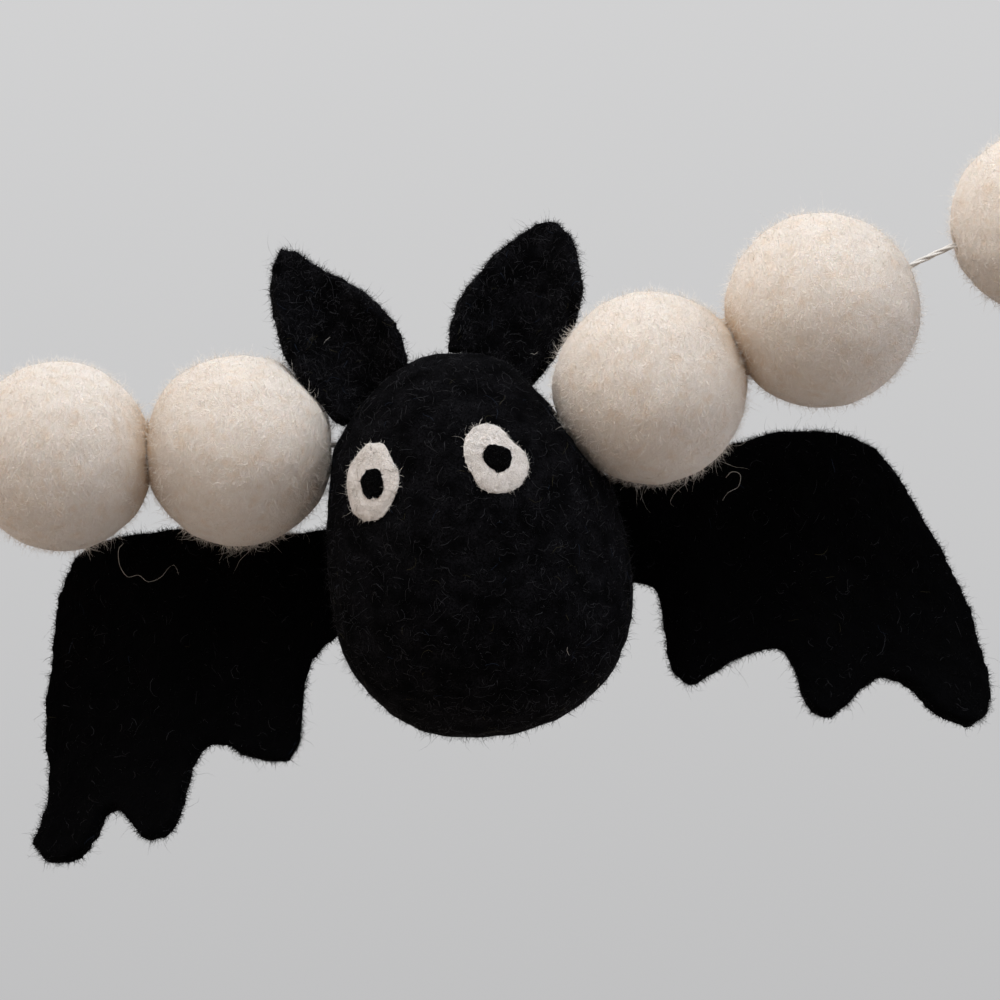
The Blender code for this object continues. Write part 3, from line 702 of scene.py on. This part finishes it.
def bridges(node, neighbour, seed):
    """Fibres matted across the crevice between a ball and the one that it presses on."""
    middle, radius = ball_place(node)
    other, other_radius = ball_place(neighbour)
    random = np.random.default_rng(seed)
    count = 420
    towards = np.array((other - middle).normalized())
    contact = np.array((middle + other) / 2)
    side = unit(np.cross(towards, (0.0, 0.0, 1.0)))
    up = np.cross(side, towards)
    half = (other - middle).length / 2
    out = (2.1 + 2.3 * random.random(count)) * MM
    turn = 2 * math.pi * random.random(count)
    ends = []
    for sign, size in ((-1.0, radius), (1.0, other_radius)):
        ring = np.cos(turn)[:, None] * side + np.sin(turn)[:, None] * up
        back = half - np.sqrt(size**2 - out**2) + 0.05 * MM
        ends.append(contact + ring * out[:, None] + sign * towards * back[:, None])
        out = out + random.normal(0.0, 0.25 * MM, count)
        turn = turn + random.normal(0.0, 0.25, count)
    start, end = ends
    share = np.linspace(-0.35, 1.35, 6)[None, :, None]
    ways = start[:, None] * (1 - share) + end[:, None] * share
    ways += random.normal(0.0, 0.07 * MM, ways.shape)
    # Most bridging fibres take a warm brown that paints the shade in the crevice between the balls
    shades = random.choice(3, size=count, p=(0.2, 0.2, 0.6))
    return spun("bridges", ways, np.full(count, 0.05 * MM), shades,
                ["cream fibre", "cream fibre, deep", "crevice shade fibre"], taper=0.4)


def mostly_in_front(places, normals):
    """Weighs fuzz so that half as much grows on the side turned away."""
    return np.where(normals[:, 1] < 0.35, 1.0, 0.5)


def ball_coat(ball, seed, stray):
    """Fine fuzz, loose curly fibres and laid strands on a felt ball."""
    random = np.random.default_rng(seed)
    cream = {"cream fibre": 5, "cream fibre, deep": 1}
    layers = [
        coat_layer(ball, random, 60, 0.55 * MM, 1, 0.9, 0.0, 0.045 * MM, cream, weigh=mostly_in_front),
        coat_layer(ball, random, 265, 1.2 * MM, 2, 1.0, 0.7, 0.036 * MM, cream, weigh=mostly_in_front),
        coat_layer(ball, random, 20, 2.1 * MM, 5, 1.2, 0.65, 0.034 * MM, {"cream fibre": 1}, droop=0.03),
        coat_layer(ball, random, 7, 4.0 * MM, 8, 0, 0.30, 0.05 * MM, cream, laid=0.01 * MM),
    ]
    if stray:
        def underneath(places, normals):
            return np.where((normals[:, 2] < -0.45) & (normals[:, 1] < 0.2), 1.0, 0.0)

        layers.append(coat_layer(ball, random, 11.0, 4.0 * MM, 12, 0.9, 0.75, 0.03 * MM, {"white fibre": 1},
                                 weigh=underneath, droop=0.1))
    node = ball.name.replace("felt_ball", "ball")
    if node in dict(PRESSED):
        layers.append(bridges(node, dict(PRESSED)[node], seed + 50))
    return joined(node.replace("ball", "fuzz_ball"), layers)


def on_the_rim(places, normals):
    """Weighs a sheet's fuzz so that it grows on the cut edge alone. The sheets face along Y."""
    return np.clip((0.8 - np.abs(normals[:, 1])) / 0.4, 0.0, 1.0)


def bat_coat(piece, name, seed, rim=False, lit=0.15, nap=60, curls=60, strays=16, skip=None):
    """Tapered nap, loose curly fibres and laid strands on a piece of the bat, so many to a cm2."""
    random = np.random.default_rng(seed)
    black = {"black fibre": 1.0 - lit, "black fibre, lit": lit}
    laid = {"black fibre, lit": 8.0, "grey fibre": 1.6, "olive fibre": 0.5, "blue fibre": 0.5,
            "white fibre": 0.03}
    layers = [
        coat_layer(piece, random, nap, 0.65 * MM, 1, 0.9, 0.0, 0.09 * MM, black, skip=skip),
        coat_layer(piece, random, curls, 1.3 * MM, 2, 1.1, 0.7, 0.045 * MM, black, skip=skip),
        coat_layer(piece, random, 9, 2.2 * MM, 5, 1.1, 0.75, 0.03 * MM, black, skip=skip),
        coat_layer(piece, random, strays, 1.7 * MM, 4, 0, 0.55, 0.04 * MM, laid, skip=skip, laid=0.05 * MM),
    ]
    if rim:
        layers.append(coat_layer(piece, random, 1150, 0.65 * MM, 2, 0.95, 0.8, 0.075 * MM, black, on_the_rim))
        layers.append(coat_layer(piece, random, 380, 1.15 * MM, 3, 1.0, 0.9, 0.04 * MM, black, on_the_rim))
        layers.append(coat_layer(piece, random, 60, 2.0 * MM, 5, 1.0, 0.7, 0.03 * MM, black, on_the_rim))
    return joined(name, layers)


def caught_thread(piece, route):
    """A white thread that lies on a sheet's front."""
    front = BVHTree.FromObject(piece, bpy.context.evaluated_depsgraph_get())
    low, high = Vector(piece.bound_box[0]), Vector(piece.bound_box[6])
    points = []
    for across, up in route:
        above = Vector((low.x + across * (high.x - low.x), low.y - 5 * MM, low.z + up * (high.z - low.z)))
        spot = front.ray_cast(above, Vector((0.0, 1.0, 0.0)))[0]
        if spot is not None:
            points.append(spot - Vector((0.0, 0.12 * MM, 0.0)))
    way = lay_out(points, 0.4 * MM)[None]
    return spun("thread", way, np.array([0.045 * MM]), np.array([0]), ["white fibre"], taper=0.2)


def sink_root(piece, ground, reach, depth):
    """Draw the part of a sheet within reach of the body down into its felt, as if sewn on."""
    below = BVHTree.FromObject(ground, bpy.context.evaluated_depsgraph_get())
    for vertex in piece.data.vertices:
        foot, normal, _, _ = below.find_nearest(vertex.co)
        height = (vertex.co - foot).dot(normal)
        if height < reach:
            vertex.co -= normal * depth * min(1.0 - height / reach, 1.0)
    piece.data.update()


def press_on(piece, ground, rim, crown):
    """Needle a patch onto the felt below it: domed to crown at its middle, drawn down to rim at its edge."""
    graph = bpy.context.evaluated_depsgraph_get()
    below = BVHTree.FromObject(ground, graph)
    places = [vertex.co.copy() for vertex in piece.data.vertices]
    middle = sum(places, Vector()) / len(places)
    _, facing, _, _ = below.find_nearest(middle)
    side = facing.cross(Vector((0.0, 0.0, 1.0))).normalized()
    up = side.cross(facing)
    feet = [below.find_nearest(place) for place in places]
    heights = np.array([(place - foot[0]).dot(foot[1]) for place, foot in zip(places, feet)])
    around = np.array([[(place - middle).dot(side), (place - middle).dot(up)] for place in places])
    angles, reach = np.arctan2(around[:, 1], around[:, 0]), np.hypot(around[:, 0], around[:, 1])
    sectors = np.linspace(-math.pi, math.pi, 49)
    step = sectors[1] - sectors[0]
    furthest = [reach[np.abs((angles - a + math.pi) % (2 * math.pi) - math.pi) < step].max() for a in sectors]
    share = (heights - heights.min()) / np.ptp(heights)
    edge = np.minimum(reach / np.interp(angles, sectors, furthest), 1.0)
    lift = rim + crown * share * np.sqrt(1.0 - edge**3)
    for vertex, foot, height in zip(piece.data.vertices, feet, lift):
        vertex.co = foot[0] + foot[1] * height
    piece.data.update()


def twisted(name, line, closed=False):
    """Plies twisted round each other along a line, each a closed tube, as one mesh."""
    cord = bpy.context.scene.garland_cord
    offset, ply_radius, sides = 0.235 * cord.diameter, 0.265 * cord.diameter, 7
    along = unit(np.roll(line, -1, axis=0) - np.roll(line, 1, axis=0))
    if not closed:
        along[0], along[-1] = unit(line[1] - line[0]), unit(line[-1] - line[-2])
    first = np.empty_like(line)
    side = unit(np.cross(along[0], (0.0, 1.0, 0.2)))
    for i, way in enumerate(along):
        side = unit(side - way * (side @ way))
        first[i] = side
    second = np.cross(along, first)
    travelled = np.concatenate([[0.0], np.cumsum(np.linalg.norm(np.diff(line, axis=0), axis=1))])
    turns = travelled / cord.twist
    if closed:  # the last ring leads back to the first, whose frame has turned on the way round
        around = travelled[-1] + np.linalg.norm(line[0] - line[-1])
        back = unit(side - along[0] * (side @ along[0]))
        left_over = math.atan2(back @ second[0], back @ first[0]) / (2 * math.pi)
        turns = (round(around / cord.twist) - left_over) * travelled / around
    rings, corners, sizes = [], [], []
    for ply in range(cord.plies):
        turn = 2 * math.pi * (turns + ply / cord.plies)
        out = np.cos(turn)[:, None] * first + np.sin(turn)[:, None] * second
        middle = line + offset * out
        base = ply * len(line) * sides
        for k in range(sides):
            angle = turn + 2 * math.pi * k / sides
            rim = np.cos(angle)[:, None] * first + np.sin(angle)[:, None] * second
            rings.append(middle + ply_radius * rim)
        for i in range(len(line) if closed else len(line) - 1):
            j = (i + 1) % len(line)
            for k in range(sides):
                low, high = base + k * len(line), base + (k + 1) % sides * len(line)
                corners += [low + i, high + i, high + j, low + j]
                sizes.append(4)
        if not closed:
            ends = [base + k * len(line) for k in range(sides)]
            corners += ends[::-1] + [end + len(line) - 1 for end in ends]
            sizes += [sides, sides]
    mesh = mesh_from(name, np.concatenate(rings), corners, sizes)
    return new_piece(name, mesh, finish("cotton"))


def loop_line(side, inward):
    """A hanging loop's points in space, in the order in which the cord runs."""
    knot, tip = KNOTS[side]
    along = (tip - knot).normalized()
    across = Vector((0.0, 1.0, 0.0)).cross(along).normalized()
    start = tip - along * LOOP_ROUTE[len(LOOP_ROUTE) // 2][0]
    points = [start + along * out + across * up for out, up in LOOP_ROUTE]
    return points if inward else points[::-1]


# Operators --------------------------------------------------------------------------------------


class GARLAND_OT_studio(bpy.types.Operator):
    """Set the camera, the soft lights, the pale surroundings and the floor"""

    bl_idname = "garland.studio"
    bl_label = "Set up the studio"

    def execute(self, context):
        studio = context.scene.garland_studio
        middle = Vector((-0.104, 0.0, -0.0519))
        camera_data = bpy.data.cameras.new("camera")
        camera_data.sensor_width = 36.0
        camera_data.lens = camera_data.sensor_width * studio.distance / studio.view_width
        camera_data.clip_start, camera_data.clip_end = 0.02, 20.0
        camera = bpy.data.objects.new("camera", camera_data)
        camera.location = middle + Vector((0.0, -studio.distance, 0.0))
        camera.rotation_euler = (math.pi / 2, 0.0, 0.0)
        context.scene.collection.objects.link(camera)
        context.scene.camera = camera
        context.scene.view_settings.view_transform = "Standard"

        self.light(context, "overhead", middle + Vector((-0.03, -0.24, 0.52)), middle, 0.42, studio.key_power,
                   (0.98, 0.99, 1.0))
        self.surroundings(context)

        bpy.ops.object.select_all(action="DESELECT")
        bpy.ops.mesh.primitive_circle_add(vertices=96, radius=2.2, fill_type="NGON")
        floor = context.object
        floor.name = "floor"
        floor.data.transform(Matrix.Translation((middle.x, 0.0, CAD_BOX[0].z - studio.floor_drop)))
        material, _, _ = new_material("pale floor", Base_Color=(0.46, 0.41, 0.37, 1.0), Roughness=0.9)
        floor.data.materials.append(material)
        return {"FINISHED"}

    def light(self, context, name, place, target, size, power, tint):
        data = bpy.data.lights.new(name, "AREA")
        data.shape, data.size, data.energy, data.color = "DISK", size, power, tint
        light = bpy.data.objects.new(name, data)
        light.location = place
        light.rotation_euler = (target - place).to_track_quat("-Z", "Y").to_euler()
        light.visible_camera = False
        context.scene.collection.objects.link(light)

    def surroundings(self, context):
        """A bright room behind and at both sides, dimmer and warmer in front, seen as pale grey."""
        world = bpy.data.worlds.new("studio")
        world.use_nodes = True
        tree = world.node_tree
        tree.nodes.clear()
        way = add(tree, "ShaderNodeTexCoord").outputs["Generated"]
        parts = add(tree, "ShaderNodeSeparateXYZ", {0: way}).outputs
        behind = weighed(tree, (parts["Y"], 0.62), (parts["Z"], 0.78))
        share = spread(tree, behind, -0.25, 0.9)
        lit = add(tree, "ShaderNodeMix", {0: share, 6: (0.235, 0.19, 0.16, 1.0), 7: (0.60, 0.60, 0.62, 1.0)},
                  data_type="RGBA").outputs[2]
        leftward = weighed(tree, (parts["X"], -1.0))
        for toward, tint in ((leftward, (1.55, 1.33, 1.16, 1.0)), (parts["X"], (1.75, 1.80, 1.95, 1.0))):
            lit = add(tree, "ShaderNodeMix", {0: spread(tree, toward, 0.50, 0.95), 6: lit, 7: tint},
                      data_type="RGBA").outputs[2]
        rise = spread(tree, parts["Z"], -0.13, 0.13)
        seen = add(tree, "ShaderNodeMix", {0: rise, 6: (0.53, 0.53, 0.535, 1.0), 7: (0.64, 0.64, 0.645, 1.0)},
                   data_type="RGBA").outputs[2]
        light = add(tree, "ShaderNodeBackground", {"Color": lit})
        backdrop = add(tree, "ShaderNodeBackground", {"Color": seen})
        to_camera = add(tree, "ShaderNodeLightPath").outputs["Is Camera Ray"]
        both = add(tree, "ShaderNodeMixShader", {0: to_camera, 1: light.outputs[0], 2: backdrop.outputs[0]})
        add(tree, "ShaderNodeOutputWorld", {"Surface": both.outputs[0]})
        context.scene.world = world


class GARLAND_OT_cord(bpy.types.Operator):
    """Run the twisted cord through the balls and the bat, and tie its two knots"""

    bl_idname = "garland.cord"
    bl_label = "String the cord"

    def execute(self, context):
        for side, (middle, tip) in KNOTS.items():
            knot = self.knot(f"tied_knot_{side}", middle, tip)
            hand_over(knot, "white_cord", f"knot_{side}")
        points = loop_line("left", True) + [KNOTS["left"][0]] + [Vector(p) for p in CORD_ROUTE]
        points += [KNOTS["right"][0]] + loop_line("right", False)
        line = lay_out(points, 0.5 * MM)
        cord = twisted("twisted_cord", line)
        hand_over(cord, "white_cord", "cord", "loop_left", "loop_right")
        return {"FINISHED"}

    def knot(self, name, middle, tip):
        """An overhand knot pulled tight, its turns wrapped round the cord's own line."""
        frame_of_knot = (tip - middle).to_track_quat("Z", "Y").to_matrix()
        points = []
        for k in range(36):
            t = 2 * math.pi * k / 36
            x = math.sin(t) + 2 * math.sin(2 * t)
            y = math.cos(t) - 2 * math.cos(2 * t)
            z = -math.sin(3 * t) - 0.55 * math.cos(t)
            points.append(middle + frame_of_knot @ Vector((0.30 * x, 0.30 * y, 0.72 * z)) * MM)
        return twisted(name, lay_out(points, 0.25 * MM, closed=True), closed=True)


class GARLAND_OT_balls(bpy.types.Operator):
    """Make the five bored felt balls with their fuzz"""

    bl_idname = "garland.balls"
    bl_label = "Felt the balls"

    def execute(self, context):
        for i, node in enumerate(BALLS):
            ball = bored_ball(node)
            hand_over(ball, "cream_wool_felt", node)
            stray = node.endswith("inner")
            hand_over(ball_coat(ball, 100 + i, stray), "cream_wool_felt")
        return {"FINISHED"}


class GARLAND_OT_body(bpy.types.Operator):
    """Make the bat's egg-shaped body with its fuzz"""

    bl_idname = "garland.body"
    bl_label = "Felt the body"

    def execute(self, context):
        body = copy_of_node("bat_body", "felt_body")
        soften(body, 0.75 * MM, 5)
        ruffle(body, ((8.0 * MM, 0.35 * MM), (2.6 * MM, 0.20 * MM), (1.4 * MM, 0.08 * MM)))
        body.data.materials.append(finish("black felt, curly"))
        hand_over(body, "black_wool_felt", "bat_body")
        graph = context.evaluated_depsgraph_get()
        eyes = [BVHTree.FromObject(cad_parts[eye], graph) for eye in EYES]

        def under_eye(place, normal):
            return any(eye.ray_cast(place - normal * 0.2 * MM, normal, 2.5 * MM)[0] for eye in eyes)

        coat = bat_coat(body, "fuzz_body", 200, lit=0.2, nap=60, curls=75, strays=34, skip=under_eye)
        hand_over(coat, "black_wool_felt")
        return {"FINISHED"}


class GARLAND_OT_wings(bpy.types.Operator):
    """Make the two cut felt wings with their fuzz"""

    bl_idname = "garland.wings"
    bl_label = "Cut the wings"

    def execute(self, context):
        for i, node in enumerate(WINGS):
            wing = copy_of_node(node, node.replace("wing", "felt_wing"))
            soften(wing, 0.55 * MM, 4)
            ruffle(wing, ((5.0 * MM, 0.35 * MM), (1.8 * MM, 0.20 * MM), (0.8 * MM, 0.12 * MM)))
            sink_root(wing, bpy.data.objects["felt_body"], 1.6 * MM, 0.9 * MM)
            wing.data.materials.append(finish("black felt"))
            hand_over(wing, "black_wool_felt", node)
            coat = bat_coat(wing, node.replace("wing", "fuzz_wing"), 300 + i, rim=True, lit=0.05,
                            nap=40, curls=35, strays=7)
            coat = joined(coat.name, [coat, caught_thread(wing, CAUGHT_THREADS[node])])
            hand_over(coat, "black_wool_felt")
        return {"FINISHED"}


class GARLAND_OT_ears(bpy.types.Operator):
    """Make the two cupped felt ears with their fuzz"""

    bl_idname = "garland.ears"
    bl_label = "Cut the ears"

    def execute(self, context):
        for i, node in enumerate(EARS):
            ear = copy_of_node(node, node.replace("ear", "felt_ear"))
            soften(ear, 0.42 * MM, 5)
            ruffle(ear, ((4.0 * MM, 0.25 * MM), (1.6 * MM, 0.18 * MM), (0.8 * MM, 0.10 * MM)))
            sink_root(ear, bpy.data.objects["felt_body"], 1.6 * MM, 0.9 * MM)
            ear.data.materials.append(finish("black felt, curly"))
            hand_over(ear, "black_wool_felt", node)
            coat = bat_coat(ear, node.replace("ear", "fuzz_ear"), 400 + i, rim=True, lit=0.3,
                            nap=100, curls=160, strays=80)
            hand_over(coat, "black_wool_felt")
        return {"FINISHED"}


class GARLAND_OT_eyes(bpy.types.Operator):
    """Needle the white eyes and their black pupils onto the face"""

    bl_idname = "garland.eyes"
    bl_label = "Needle the eyes"

    def execute(self, context):
        body = bpy.data.objects["felt_body"]
        for i, (eye_node, pupil_node) in enumerate(zip(EYES, PUPILS)):
            eye = copy_of_node(eye_node, eye_node.replace("eye", "wool_eye"))
            soften(eye, 0.28 * MM, 7)
            press_on(eye, body, 0.03 * MM, 0.6 * MM)
            ruffle(eye, ((2.2 * MM, 0.14 * MM), (0.9 * MM, 0.10 * MM)))
            eye.data.materials.append(finish("white wool"))
            hand_over(eye, "white_wool", eye_node)
            pupil = copy_of_node(pupil_node, pupil_node.replace("pupil", "wool_pupil"))
            soften(pupil, 0.2 * MM, 7)
            press_on(pupil, eye, 0.01 * MM, 0.25 * MM)
            ruffle(pupil, ((1.2 * MM, 0.06 * MM), (0.5 * MM, 0.05 * MM)))
            pupil.data.materials.append(finish("black felt"))
            hand_over(pupil, "black_wool_felt", pupil_node)
            hand_over(self.fuzz(eye, pupil, eye_node.replace("eye", "fuzz_eye"), 500 + i), "white_wool")
            hand_over(self.dark_fuzz(pupil, pupil_node.replace("pupil", "fuzz_pupil"), 520 + i), "black_wool_felt")
        return {"FINISHED"}

    def fuzz(self, eye, pupil, name, seed):
        """White fuzz on an eye, and wisps that stray over the black."""
        random = np.random.default_rng(seed)
        dark = BVHTree.FromObject(pupil, bpy.context.evaluated_depsgraph_get())

        def under_pupil(place, normal):
            return dark.find_nearest(place)[3] < 0.35 * MM

        layers = [
            coat_layer(eye, random, 1100, 0.65 * MM, 2, 1.45, 0.6, 0.06 * MM, {"white fibre": 1}, skip=under_pupil),
            coat_layer(eye, random, 150, 1.4 * MM, 5, 1.45, 0.7, 0.035 * MM, {"grey fibre": 1, "white fibre": 3},
                       skip=under_pupil),
        ]
        return joined(name, layers)

    def dark_fuzz(self, pupil, name, seed):
        random = np.random.default_rng(seed)
        layer = coat_layer(pupil, random, 1900, 0.55 * MM, 2, 1.4, 0.6, 0.07 * MM, {"black fibre": 1})
        return joined(name, [layer])


# Panel and registration -------------------------------------------------------------------------

MAKERS = (GARLAND_OT_studio, GARLAND_OT_cord, GARLAND_OT_balls, GARLAND_OT_body, GARLAND_OT_wings,
          GARLAND_OT_ears, GARLAND_OT_eyes)
SETTINGS = {
    "garland_wool": GARLAND_PG_wool,
    "garland_fuzz": GARLAND_PG_fuzz,
    "garland_cord": GARLAND_PG_cord,
    "garland_studio": GARLAND_PG_studio,
}


class GARLAND_PT_panel(bpy.types.Panel):
    """Lists the steps that make the garland"""

    bl_idname = "GARLAND_PT_panel"
    bl_label = "Felt Bat Garland"
    bl_space_type = "VIEW_3D"
    bl_region_type = "UI"
    bl_category = "Garland"

    def draw(self, context):
        for group, kind in SETTINGS.items():
            box = self.layout.box()
            box.label(text=kind.__doc__)
            for name in kind.__annotations__:
                box.prop(getattr(context.scene, group), name)
        for maker in MAKERS:
            self.layout.operator(maker.bl_idname)


def register():
    for kind in (*SETTINGS.values(), *MAKERS, GARLAND_PT_panel):
        bpy.utils.register_class(kind)
    for group, kind in SETTINGS.items():
        setattr(bpy.types.Scene, group, PointerProperty(type=kind))


def unregister():
    for group in SETTINGS:
        delattr(bpy.types.Scene, group)
    for kind in (GARLAND_PT_panel, *MAKERS[::-1], *SETTINGS.values()):
        bpy.utils.unregister_class(kind)


def main():
    register()
    bpy.ops.garland.studio()
    bpy.ops.garland.cord()
    bpy.ops.garland.balls()
    bpy.ops.garland.body()
    bpy.ops.garland.wings()
    bpy.ops.garland.ears()
    bpy.ops.garland.eyes()


if __name__ == "__main__":
    main()
